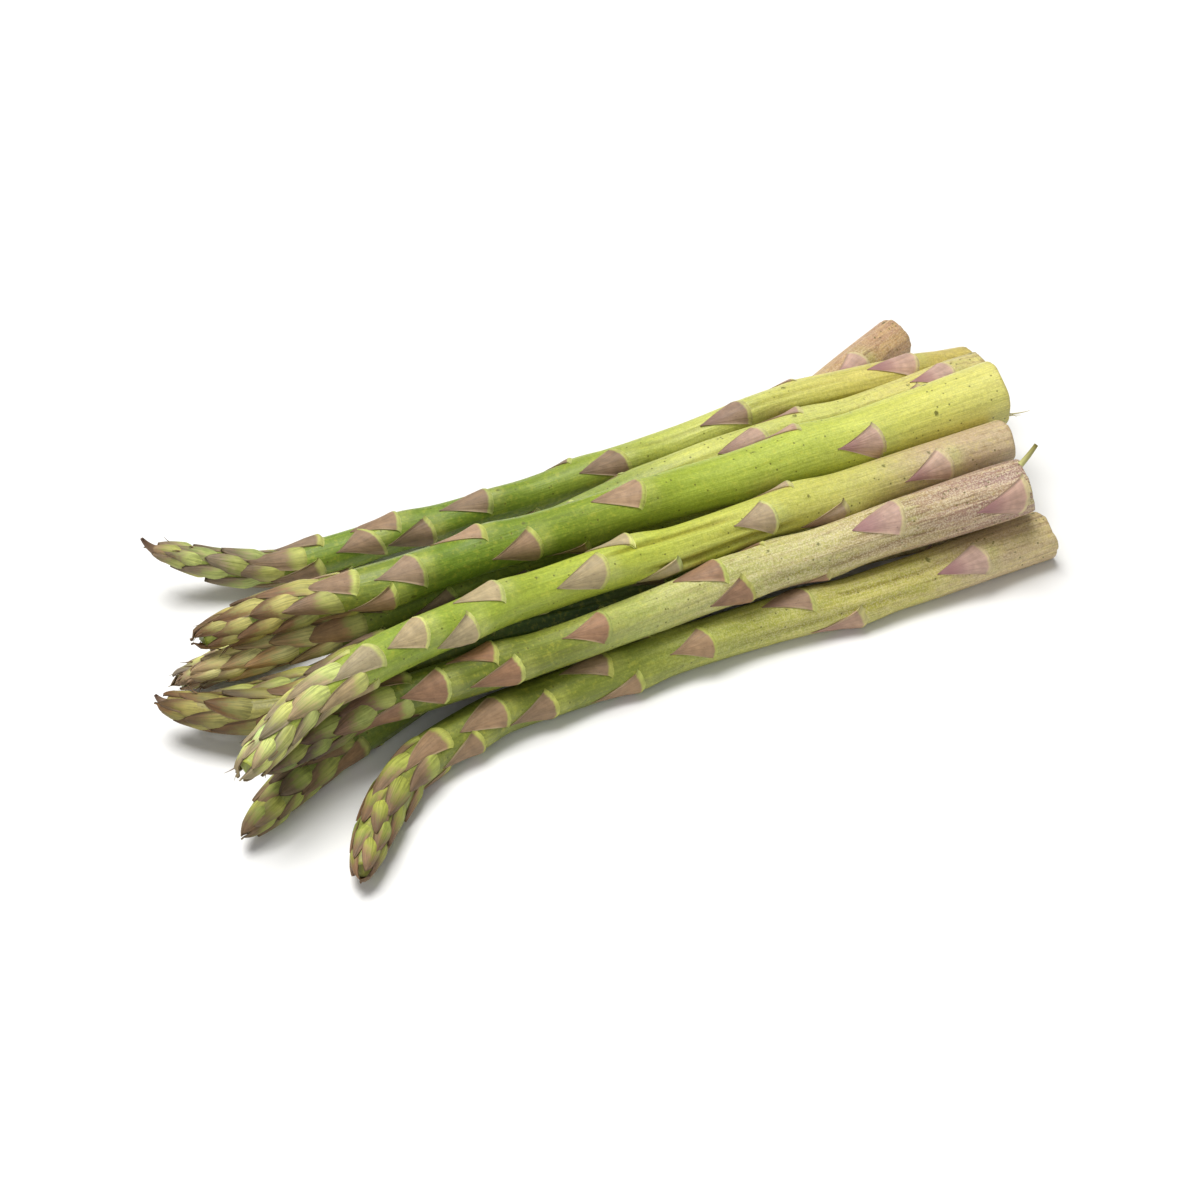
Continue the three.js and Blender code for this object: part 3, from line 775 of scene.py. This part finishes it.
def make_leaves(name, spear, look):
    """Every leaf's outer surface is the skin's radius plus the leaf's height, and its inner surface lies
    one thickness below. Across, the width is laid off as an angle round the spear."""
    table = all_leaves(spear, look)
    base, turn, length, width, lift, thickness, fullness, flare, in_head = (
        column[:, None, None] for column in table.T)
    along, across = LEAF_ROWS[None, :, None], LEAF_COLUMNS[None, None, :]
    stem_width, stem_height = stem_leaf_shape(along, across, lift, fullness)
    head_width, head_height = head_scale_shape(along, across, lift, flare)
    half = mix(stem_width, head_width, in_head) * width / 2
    height = mix(stem_height, head_height, in_head)
    rng = np.random.default_rng(look["seed"] + 300)
    slant = rng.normal(0, LEAF_SLANT, (len(table), 1, 1))
    bow = (LEAF_BOW * across ** 2 + slant * across) * (1 - along) * mix(1, 0.4, in_head)
    distance = base + along * length + bow
    girth = np.maximum(core_radius(spear, look, distance) + height, LEAST_GIRTH)
    skew = rng.normal(0, LEAF_SKEW, (len(table), 1, 1)) * along
    leaf_turn = turn + skew + across * np.minimum(half / girth, WIDEST_WRAP)
    skin = skin_radius(spear, look, distance, leaf_turn)
    outer = skin + height
    inner = np.maximum(outer - thickness * mix(1, 0.5, along), 0.1 * MM)
    points = np.stack([spear.place(distance, leaf_turn, side) for side in (outer, inner)], axis=1)
    shape = points.shape[:-1]
    points = kept_clear(name, points)
    uv = np.stack(np.broadcast_arrays((across + 1) / 2, along), axis=-1)
    uv = np.broadcast_to(uv[:, None], shape + (2,))
    count = len(table)
    head = in_head[:, 0, 0, None]
    foot = mix(varied(look["leaf_foot"], count, rng, 0.07), varied(look["head_foot"], count, rng, 0.12), head)
    body = mix(varied(look["leaf_body"], count, rng, 0.08), varied(look["head_body"], count, rng, 0.14), head)
    at_butt = 1 - smoothstep(*PALE_LEAVES_END, table[:, 0, None])
    body = mix(body, varied(PALE_LEAF, count, rng, 0.05), 0.75 * at_butt)
    foot = mix(foot, paint(LEAF_SHOULDER)[None], 0.95 * at_butt)

    def per_point(values):
        spread = np.asarray(values).reshape((count, 1, 1, 1, -1))
        return np.broadcast_to(spread, shape + (spread.shape[-1],))

    return make_piece(
        name, points, shell_faces(count),
        colours={"leaf_foot": per_point(foot), "leaf_body": per_point(body)},
        numbers={"in_head": per_point(in_head[:, 0, 0]), "leaf_number": per_point(np.arange(count)),
                 "at_butt": per_point(at_butt)},
        uv=uv,
    )


print("leaves and scales:", {name: len(all_leaves(spears[name], look)) for name, look in LOOKS.items()})

# %% [markdown]
# ## The cut end
# A knife leaves the butt almost flat. It dries, so the middle sinks a little and the stringy bundles stand
# out. The cut face is its own piece, a shallow lens set inside the stem's rounded edge.

# %% Cut end surface
CUT_RINGS = 16
CUT_DOME = 0.12 * MM
CUT_DEPTH = 1.2 * MM


def make_cut_end(name, spear, look):
    """Rings from the middle to just inside the stem's rim, sunk in the middle and wavy by chance; the back
    is the same disc pushed into the stem, so the piece is closed."""
    rng = np.random.default_rng(look["seed"] + 400)
    share = ((np.arange(CUT_RINGS) + 1) / CUT_RINGS)[:, None]
    turn = (np.arange(ROUND) * 2 * math.pi / ROUND)[None, :]
    edge = skin_radius(spear, look, np.zeros_like(turn), turn) - RIM * 0.9
    out = share * edge
    wave = sum(np.sin(k * turn + rng.uniform(0, FULL_TURN)) * share ** k for k in (1, 2, 3))
    face = CUT_DOME * (1.6 - 1.2 * share ** 2) + 0.06 * MM * wave
    front = spear.place(face + cut_lean(look, 0, turn) * share, turn, out)
    back = spear.place(np.full_like(out, CUT_DEPTH), turn, out)
    middles = spear.place(np.array([1.6 * CUT_DOME, CUT_DEPTH]), np.zeros(2), np.zeros(2))
    count = CUT_RINGS * ROUND
    front_faces = grid_faces(CUT_RINGS, ROUND, closed=True)
    back_faces = front_faces[:, ::-1] + count
    ring = np.arange(ROUND)
    outer = count - ROUND + ring
    strip = np.stack([outer, outer + count, np.roll(outer, -1) + count, np.roll(outer, -1)], axis=1)
    triangles = np.concatenate([fan_faces(ring[::-1], 2 * count), fan_faces(ring + count, 2 * count + 1)])
    flat = grain_vectors(np.broadcast_to(turn, out.shape), out, np.zeros_like(out)).reshape(-1, 3)
    rim = np.broadcast_to(share, out.shape).ravel()
    return make_piece(
        name, kept_clear(name, np.concatenate([front.reshape(-1, 3), back.reshape(-1, 3), middles])),
        np.concatenate([front_faces[:, ::-1], back_faces[:, ::-1], strip]), triangles,
        colours={"skin": np.tile(paint(look["skin"][0][1]), (2 * count + 2, 1))},
        numbers={"rim": np.concatenate([rim, rim, [0, 0]])},
        vectors={"grain": np.concatenate([flat, flat, [[0, 0, 0], [0, 0, 0]]])},
    )


print(2 * CUT_RINGS * ROUND + 2, "points in a cut end")

# %% [markdown]
# ## Dry ends
# The thinnest parts dry out first. A few brown points stick out of some heads, the knife tore a string from
# the edge of the thickest butt, and a side shoot started at the edge of the purple one. All are thin bent
# cones. Each follows a curve: straight on along its heading, and bent more and more towards its end.

# %% Thin bent cones
CONE_ROWS = np.linspace(0, 1, 9)
CONE_SIDES = 7


def make_cones(name, roots, headings, bends, lengths, radii, root_colour, tip_colour, taper=0.85):
    """Rings round the curve root + length * (heading * share + bend * share squared), closed at both ends.
    The radius loses the share taper of its size towards the end, and the colour goes from the root's to the
    tip's."""
    share = CONE_ROWS[None, :, None]
    line = roots[:, None] + lengths[:, None, None] * (headings[:, None] * share + bends[:, None] * share ** 2)
    along = unit(headings[:, None] + 2 * bends[:, None] * share)
    side = unit(np.cross(along, np.array([0.3, 0.4, 0.87])))
    up = np.cross(side, along)
    turn = (np.arange(CONE_SIDES) * 2 * math.pi / CONE_SIDES)[None, None, :, None]
    out = (radii[:, None, None] * (1 - taper * share) ** 0.8)[..., None]
    rings = line[:, :, None] + out * (up[:, :, None] * np.cos(turn) - side[:, :, None] * np.sin(turn))
    count, per_cone = len(roots), len(CONE_ROWS) * CONE_SIDES
    start = np.arange(count)[:, None, None] * per_cone
    quads = (grid_faces(len(CONE_ROWS), CONE_SIDES, closed=True)[None] + start).reshape(-1, 4)
    ends = count * per_cone + np.arange(count)[:, None, None] * 2
    first = fan_faces(np.arange(CONE_SIDES)[::-1], 0)[None] + start
    last = fan_faces(per_cone - CONE_SIDES + np.arange(CONE_SIDES), 0)[None] + start
    first[..., 2:], last[..., 2:] = ends, ends + 1
    centres = np.stack([line[:, 0], line[:, -1]], axis=1).reshape(-1, 3)
    ring_share = np.broadcast_to(share[..., None], rings.shape[:3] + (1,))
    shade = mix(paint(root_colour), paint(tip_colour), ring_share)
    end_shade = np.tile([paint(root_colour), paint(tip_colour)], (count, 1))
    points = kept_clear(name, np.concatenate([rings.reshape(-1, 3), centres]))
    return make_piece(
        name, points, quads, np.concatenate([first, last]).reshape(-1, 3),
        colours={"skin": np.concatenate([shade.reshape(-1, 3), end_shade])},
    )


def make_tip_wisps(name, spear, look, count):
    """Dry points that start between the last scales and lean out of the head, each in its own direction."""
    rng = np.random.default_rng(look["seed"] + 500)
    distance = spear.length - rng.uniform(1.0, 9.0, count) * MM
    turn = rng.uniform(0, FULL_TURN, count)
    roots = spear.place(distance, turn, core_radius(spear, look, distance) + 0.7 * MM)
    outwards = unit(roots - spear.place(distance, turn, 0 * turn))
    onwards = spear.along(spear.middle, distance + MM) - spear.along(spear.middle, distance)
    headings = unit(onwards) + 0.3 * outwards
    bends = rng.normal(0, 0.25, (count, 3)) + np.array([0, 0, -0.15])
    return make_cones(name, roots, unit(headings), bends, rng.uniform(1.5, 3.6, count) * MM,
                      rng.uniform(0.12, 0.22, count) * MM, "#7d6342", "#4e3a26")


print(len(CONE_ROWS) * CONE_SIDES + 2, "points in a cone")

# %% [markdown]
# ## Materials
# Four finishes cover the bundle. They share two effects, which are node groups: a grain that runs along the
# spear, and small specks. Colours that belong to a place come from the meshes, and the nodes add what is
# too fine for them.

# %% Node helpers
def give_inputs(tree, node, inputs):
    """Gives a node its inputs, {name: value}. A value is a number, a colour or another node's output."""
    for key, value in dict(inputs).items():
        if isinstance(value, bpy.types.NodeSocket):
            tree.links.new(value, node.inputs[key])
        else:
            node.inputs[key].default_value = value
    return node


def add(tree, kind, inputs=(), **settings):
    """A new node with its settings and inputs."""
    made = tree.nodes.new(kind)
    for key, value in settings.items():
        setattr(made, key, value)
    return give_inputs(tree, made, inputs)


def math_node(tree, operation, *values):
    """The output of a Math node with the given values."""
    return add(tree, "ShaderNodeMath", dict(enumerate(values)), operation=operation).outputs[0]


def times(tree, a, b):
    """One value times another."""
    return math_node(tree, "MULTIPLY", a, b)


def plus(tree, a, b):
    """One value plus another."""
    return math_node(tree, "ADD", a, b)


def scaled(tree, vector, factor):
    """A vector or a colour, times a number."""
    return add(tree, "ShaderNodeVectorMath", {0: vector, "Scale": factor}, operation="SCALE").outputs[0]


def noise_node(tree, vector, scale, detail, roughness):
    """A Noise Texture on the given vector."""
    inputs = {"Vector": vector, "Scale": scale, "Detail": detail, "Roughness": roughness}
    return add(tree, "ShaderNodeTexNoise", inputs)


def bump(tree, height, strength, distance):
    """The normal of a skin that is raised by distance where height is 1."""
    inputs = {"Strength": strength, "Distance": distance, "Height": height}
    return add(tree, "ShaderNodeBump", inputs).outputs[0]


def ramp(tree, value, low, high, start=0.0, end=1.0):
    """value, taken from the range low to high and moved smoothly to the range start to end."""
    inputs = {"Value": value, "From Min": low, "From Max": high, "To Min": start, "To Max": end}
    return add(tree, "ShaderNodeMapRange", inputs, interpolation_type="SMOOTHSTEP").outputs[0]


def blend_colours(tree, share, a, b, how="MIX"):
    """Colour a, mixed with colour b by share."""
    node = add(tree, "ShaderNodeMix", {0: share, 6: a, 7: b}, data_type="RGBA", blend_type=how)
    return node.outputs[2]


def attribute(tree, name, output):
    """A value that the mesh carries under this name."""
    return add(tree, "ShaderNodeAttribute", attribute_name=name).outputs[output]


def new_group(name, inputs, outputs):
    """An empty node group with its sockets; inputs and outputs are {name: (socket type, default)}."""
    group = bpy.data.node_groups.new(name, "ShaderNodeTree")
    for in_out, sockets in (("INPUT", inputs), ("OUTPUT", outputs)):
        for key, (kind, default) in sockets.items():
            socket = group.interface.new_socket(key, in_out=in_out, socket_type=kind)
            if default is not None:
                socket.default_value = default
    return group, group.nodes.new("NodeGroupInput"), group.nodes.new("NodeGroupOutput")


def use_group(tree, group, inputs):
    """A group placed in a material with its own values."""
    return give_inputs(tree, add(tree, "ShaderNodeGroup", node_tree=group), inputs)


# %% [markdown]
# The grain is a noise stretched along the spear: it changes quickly across and slowly along. The specks are
# cells of which only a few are chosen, each shrunk to a small soft dot.

# %% Grain and specks
def build_grain():
    """A noise read at the place times (across, across, along), with its middle values spread from 0 to
    1."""
    group, given, put = new_group(
        "grain",
        {"Vector": ("NodeSocketVector", None), "Across": ("NodeSocketFloat", 1.0),
         "Along": ("NodeSocketFloat", 0.1)},
        {"Streak": ("NodeSocketFloat", None)},
    )
    stretch = add(group, "ShaderNodeCombineXYZ", {
        "X": given.outputs["Across"], "Y": given.outputs["Across"], "Z": given.outputs["Along"]}).outputs[0]
    inputs = {0: given.outputs["Vector"], 1: stretch}
    vector = add(group, "ShaderNodeVectorMath", inputs, operation="MULTIPLY").outputs[0]
    noise = noise_node(group, vector, 1.0, 4.0, 0.6)
    group.links.new(ramp(group, noise.outputs["Fac"], 0.28, 0.72), put.inputs["Streak"])
    return group


def build_specks():
    """Cells whose chance value is under the cover get a soft dot: 1 near the middle, and 0 from size on."""
    group, given, put = new_group(
        "specks",
        {"Vector": ("NodeSocketVector", None), "Scale": ("NodeSocketFloat", 1.0),
         "Cover": ("NodeSocketFloat", 0.2), "Size": ("NodeSocketFloat", 0.3)},
        {"Mask": ("NodeSocketFloat", None)},
    )
    inputs = {"Vector": given.outputs["Vector"], "Scale": given.outputs["Scale"]}
    cells = add(group, "ShaderNodeTexVoronoi", inputs)
    pick = add(group, "ShaderNodeSeparateColor", {"Color": cells.outputs["Color"]}).outputs[0]
    chosen = math_node(group, "LESS_THAN", pick, given.outputs["Cover"])
    share = math_node(group, "DIVIDE", cells.outputs["Distance"], given.outputs["Size"])
    dot = ramp(group, share, 0.35, 1.0, 1.0, 0.0)
    group.links.new(times(group, dot, chosen), put.inputs["Mask"])
    return group


grain_group = build_grain()
specks_group = build_specks()


def grain_at(tree, vector, across, along):
    """The grain's streaks in a material: how many to a millimetre across it and along it."""
    return use_group(tree, grain_group, {"Vector": vector, "Across": across, "Along": along}).outputs[0]


def specks_at(tree, vector, scale, cover, size):
    """The specks' mask in a material: how fine the cells are, the share of them with a speck, and its
    size."""
    inputs = {"Vector": vector, "Scale": scale, "Cover": cover, "Size": size}
    return use_group(tree, specks_group, inputs).outputs[0]


print("node groups:", [group.name for group in bpy.data.node_groups])

# %% [markdown]
# The stem's skin is waxy and a little see-through. Fine pale and dark streaks run along it, old scars are
# small dark specks, the butts of some spears are blushed purple-brown, and a mealy bloom lies on the drier
# ones.

# %% Stem material
def new_material(name):
    """A material with its node tree and its Principled shader."""
    material = bpy.data.materials.new(name)
    material.use_nodes = True
    return material, material.node_tree, material.node_tree.nodes["Principled BSDF"]


def paint4(code):
    """A web colour code as a socket's value."""
    return (*paint(code), 1.0)


YELLOW_PATCH, STAIN, BLUSH = "#c9bd4a", "#a98a55", "#8f6864"
CRACK, MEAL, SCAR = "#6e5a3c", "#dcd2b2", "#5a5a20"


def build_stem_skin():
    """The mesh's own colour times streaks, mottling and pores, then mixed in turn towards yellow patches,
    stains, blush, cracks, meal and scars, each by its own mask."""
    material, tree, shader = new_material("stem_skin")
    place = attribute(tree, "grain", "Vector")
    fine = grain_at(tree, place, 2.6, 0.09)
    broad = grain_at(tree, place, 0.55, 0.035)
    mottle = noise_node(tree, place, 0.9, 6.0, 0.65)
    pores = noise_node(tree, place, 2.6, 3.0, 0.65)
    colour = attribute(tree, "skin", "Color")
    light = times(tree, ramp(tree, fine, 0.0, 1.0, 0.9, 1.07), ramp(tree, broad, 0.0, 1.0, 0.91, 1.07))
    light = times(tree, light, ramp(tree, mottle.outputs["Fac"], 0.3, 0.7, 0.9, 1.09))
    light = times(tree, light, ramp(tree, pores.outputs["Fac"], 0.3, 0.7, 0.9, 1.09))
    colour = scaled(tree, colour, light)
    patches = ramp(tree, mottle.outputs["Fac"], 0.5, 0.7, 0.0, 0.26)
    colour = blend_colours(tree, patches, colour, paint4(YELLOW_PATCH))
    near_butt = ramp(tree, attribute(tree, "blush", "Fac"), 0.0, 0.3)
    stains = times(tree, near_butt, ramp(tree, mottle.outputs["Fac"], 0.47, 0.33, 0.0, 0.5))
    colour = blend_colours(tree, stains, colour, paint4(STAIN))
    blush = times(tree, attribute(tree, "blush", "Fac"), ramp(tree, broad, 0.25, 0.75))
    colour = blend_colours(tree, blush, colour, paint4(BLUSH))
    cracks = times(tree, attribute(tree, "blush", "Fac"), ramp(tree, fine, 0.3, 0.05))
    colour = blend_colours(tree, cracks, colour, paint4(CRACK))
    meal = ramp(tree, plus(tree, pores.outputs["Fac"], times(tree, fine, 0.12)), 0.5, 0.68)
    mealy = times(tree, attribute(tree, "bloom", "Fac"), meal)
    colour = blend_colours(tree, mealy, colour, paint4(MEAL))
    dots = specks_at(tree, place, 0.7, 0.22, 0.24)
    wavy = scaled(tree, mottle.outputs["Color"], 2.5)
    wavy = add(tree, "ShaderNodeVectorMath", {0: place, 1: wavy}, operation="ADD").outputs[0]
    large = specks_at(tree, wavy, 0.17, 0.28, 0.13)
    scars = times(tree, math_node(tree, "MAXIMUM", dots, large), 0.8)
    colour = blend_colours(tree, scars, colour, paint4(SCAR))
    roughness = ramp(tree, fine, 0.0, 1.0, 0.36, 0.5)
    roughness = plus(tree, roughness, times(tree, mealy, 0.3))
    height = plus(tree, fine, times(tree, pores.outputs["Fac"], 0.8))
    height = math_node(tree, "SUBTRACT", height, scars)
    give_inputs(tree, shader, {
        "Base Color": colour, "Roughness": roughness, "Normal": bump(tree, height, 0.35, 0.12 * MM),
        "Subsurface Weight": 0.18, "Subsurface Radius": (1.0, 0.9, 0.25), "Subsurface Scale": 1.2 * MM,
        "Specular IOR Level": 0.36, "Coat Weight": 0.05, "Coat Roughness": 0.25,
    })
    return material


stem_skin = build_stem_skin()
print(stem_skin.name, len(stem_skin.node_tree.nodes), "nodes")

# %% [markdown]
# A scale leaf is dry and matt. Along it the colour goes from the pale foot to the mauve body, with a soft
# and uneven border: close to the foot on the stem's leaves, near the middle on the head's scales. Fine
# veins run to the point, and the thin rim lets light through, so it is paler.

# %% Leaf material
DRY_POINT, LEAF_SPOT = "#9a6c70", "#5c4638"
STEM_LEAF_RIM, HEAD_SCALE_RIM = "#b7a582", "#5f4a36"


def build_leaf_skin():
    """The share of body colour rises where the place along the leaf, made uneven by noise, passes the
    border. Veins and blotches lighten and darken it, and the point, the rim and small spots get their own
    colours."""
    material, tree, shader = new_material("leaf_skin")
    uv = add(tree, "ShaderNodeUVMap", uv_map="across_and_along").outputs[0]
    split = add(tree, "ShaderNodeSeparateXYZ", {0: uv})
    from_middle = math_node(tree, "SUBTRACT", split.outputs[0], 0.5)
    across = times(tree, math_node(tree, "ABSOLUTE", from_middle), 2.0)
    along = split.outputs[1]
    number = attribute(tree, "leaf_number", "Fac")
    in_head = attribute(tree, "in_head", "Fac")
    place = add(tree, "ShaderNodeCombineXYZ", {
        "X": times(tree, split.outputs[0], 8.0), "Y": times(tree, number, 3.7),
        "Z": times(tree, along, 12.0)}).outputs[0]
    veins = grain_at(tree, place, 2.2, 0.12)
    blotch = noise_node(tree, place, 0.5, 5.0, 0.6).outputs["Fac"]
    border = ramp(tree, in_head, 0.0, 1.0, 0.1, 0.62)
    softness = ramp(tree, in_head, 0.0, 1.0, 0.05, 0.5)
    noise = plus(tree, ramp(tree, blotch, 0.3, 0.7, -0.5, 0.5), ramp(tree, veins, 0.0, 1.0, -0.4, 0.4))
    uneven = times(tree, noise, ramp(tree, in_head, 0.0, 1.0, 0.02, 0.22))
    edge = times(tree, math_node(tree, "POWER", across, 2.0), ramp(tree, in_head, 0.0, 1.0, 0.0, 0.3))
    uneven = plus(tree, plus(tree, along, edge), uneven)
    share = math_node(tree, "DIVIDE", math_node(tree, "SUBTRACT", uneven, border), softness)
    share = ramp(tree, share, -0.5, 0.5)
    foot, body = attribute(tree, "leaf_foot", "Color"), attribute(tree, "leaf_body", "Color")
    colour = blend_colours(tree, share, foot, body)
    strength = ramp(tree, in_head, 0.0, 1.0, 0.35, 1.0)
    streaks = times(tree, ramp(tree, veins, 0.0, 1.0, -0.3, 0.22), strength)
    light = times(tree, plus(tree, streaks, 1.0), ramp(tree, blotch, 0.3, 0.7, 0.84, 1.14))
    light = times(tree, light, ramp(tree, along, 0.35, 1.0, 1.04, 0.78))
    colour = scaled(tree, colour, light)
    tip = times(tree, attribute(tree, "at_butt", "Fac"), ramp(tree, along, 0.25, 0.8, 0.1, 0.75))
    colour = blend_colours(tree, tip, colour, paint4(DRY_POINT))
    rim = times(tree, ramp(tree, across, 0.84, 1.0), ramp(tree, along, 0.1, 0.3, 0.0, 0.5))
    rim_colour = blend_colours(tree, in_head, paint4(STEM_LEAF_RIM), paint4(HEAD_SCALE_RIM))
    colour = blend_colours(tree, rim, colour, rim_colour)
    spots = specks_at(tree, place, 1.2, 0.12, 0.3)
    colour = blend_colours(tree, times(tree, spots, 0.35), colour, paint4(LEAF_SPOT))
    give_inputs(tree, shader, {
        "Base Color": colour, "Roughness": ramp(tree, veins, 0.0, 1.0, 0.52, 0.68),
        "Normal": bump(tree, veins, 0.4, 0.12 * MM), "Specular IOR Level": 0.35,
        "Subsurface Weight": 0.1, "Subsurface Radius": (1.0, 0.8, 0.4), "Subsurface Scale": 0.8 * MM,
    })
    return material


leaf_skin = build_leaf_skin()
print(leaf_skin.name, len(leaf_skin.node_tree.nodes), "nodes")

# %% [markdown]
# The cut face is moist and pale, with the ends of the strings as darker dots and a drier brown line round
# the rim.

# %% Cut end material
FLESH, DRIED_FLESH, STRING_END = "#d3cd96", "#b3925e", "#8c8448"


def build_cut_face():
    """Pale flesh in the middle and the skin's colour at the rim, with drier stains and darker string
    ends."""
    material, tree, shader = new_material("cut_face")
    place = attribute(tree, "grain", "Vector")
    rim = attribute(tree, "rim", "Fac")
    strings = specks_at(tree, place, 1.3, 0.6, 0.42)
    stain = noise_node(tree, place, 0.6, 5.0, 0.6).outputs["Fac"]
    near_rim = ramp(tree, rim, 0.55, 1.0, 0.0, 0.7)
    colour = blend_colours(tree, near_rim, paint4(FLESH), attribute(tree, "skin", "Color"))
    colour = blend_colours(tree, ramp(tree, stain, 0.45, 0.7, 0.0, 0.5), colour, paint4(DRIED_FLESH))
    colour = blend_colours(tree, times(tree, strings, 0.5), colour, paint4(STRING_END))
    give_inputs(tree, shader, {
        "Base Color": colour, "Roughness": ramp(tree, stain, 0.3, 0.7, 0.45, 0.7),
        "Normal": bump(tree, plus(tree, strings, stain), 0.5, 0.2 * MM),
        "Subsurface Weight": 0.15, "Subsurface Scale": 1.0 * MM,
    })
    return material


def build_dry_fibre():
    """The mesh's own colour, and dull."""
    material, tree, shader = new_material("dry_fibre")
    give_inputs(tree, shader, {"Base Color": attribute(tree, "skin", "Color"), "Roughness": 0.6})
    return material


cut_face = build_cut_face()
dry_fibre = build_dry_fibre()
print(cut_face.name, len(cut_face.node_tree.nodes), "nodes,", dry_fibre.name)

# %% [markdown]
# ## Grow the spears
# Each spear gets three pieces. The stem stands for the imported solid, and the leaves and the cut end go with
# it.


# %% Build every spear
def finish_piece(piece, material):
    """Gives a piece its material and hangs it under the root body's empty."""
    piece.data.materials.append(material)
    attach(piece, "root")
    return piece


for name, spear in spears.items():
    look = LOOKS[name]
    stem = finish_piece(make_stem(name + "_stem", spear, look), stem_skin)
    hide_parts(name)
    leaves = finish_piece(make_leaves(name + "_scale_leaves", spear, look), leaf_skin)
    cut_end = finish_piece(make_cut_end(name + "_cut_end", spear, look), cut_face)
    faces = [len(piece.data.polygons) for piece in (stem, leaves, cut_end)]
    print(name, "faces of the stem, the leaves and the cut end:", faces)

# %% [markdown]
# The dry ends go on last, each with the spear that it grew on.

# %% Dry ends of the spears
TIP_WISPS = {"spear_back": 5, "spear_thick": 8, "spear_upper": 10, "spear_purple": 4, "spear_inner_back": 9,
             "spear_inner_bent": 4, "spear_brown": 3}

for name, count in TIP_WISPS.items():
    wisps = make_tip_wisps(name + "_tip_wisps", spears[name], LOOKS[name], count)
    finish_piece(wisps, dry_fibre)

DRY_TIPS = {"spear_back": (4.2, 1.4), "spear_brown": (3.2, 1.3)}  # length and radius in millimetres
DRY_TIP_ROOTS = np.array([2.0, 6.0]) * MM  # from the tip: where it starts, and a place that gives its heading

for name, (length, radius) in DRY_TIPS.items():
    spear = spears[name]
    root, nearer = spear.place(spear.length - DRY_TIP_ROOTS, np.zeros(2), np.zeros(2))
    dry_tip = make_cones(
        name + "_dry_tip", root[None], unit(root - nearer)[None], bends=np.array([[0.1, 0.05, 0.55]]),
        lengths=np.array([length]) * MM, radii=np.array([radius]) * MM,
        root_colour="#8c7458", tip_colour="#5a4030", taper=0.8)
    finish_piece(dry_tip, dry_fibre)

thick, purple = spears["spear_thick"], spears["spear_purple"]
butt_turns = np.radians([96, 101, 92])
torn_string = make_cones(
    "spear_thick_torn_string", thick.place(np.full(3, 0.8 * MM), butt_turns, np.full(3, 7.0 * MM)),
    headings=unit(np.array([[1.0, -0.25, -0.1], [1.0, -0.5, 0.25], [0.8, -0.1, -0.5]])),
    bends=np.array([[0.0, -0.1, 0.25], [-0.1, -0.2, 0.1], [0.1, 0.0, -0.2]]),
    lengths=np.array([5.0, 3.2, 2.6]) * MM, radii=np.array([0.2, 0.14, 0.12]) * MM,
    root_colour="#c9c184", tip_colour="#a79a63")
finish_piece(torn_string, dry_fibre)

side_shoot = make_cones(
    "spear_purple_side_shoot", purple.place(np.array([0.9 * MM]), np.radians([-8.0]), np.array([5.9 * MM])),
    headings=unit(np.array([[0.8, 0.1, 0.6]])), bends=np.array([[0.05, 0.05, 0.2]]),
    lengths=np.array([5.0 * MM]), radii=np.array([0.75 * MM]),
    root_colour="#bdbb78", tip_colour="#857c3c", taper=0.4)
finish_piece(side_shoot, dry_fibre)
print(sum(TIP_WISPS.values()), "wisps,", len(DRY_TIPS), "dry tips, a torn string and a side shoot")
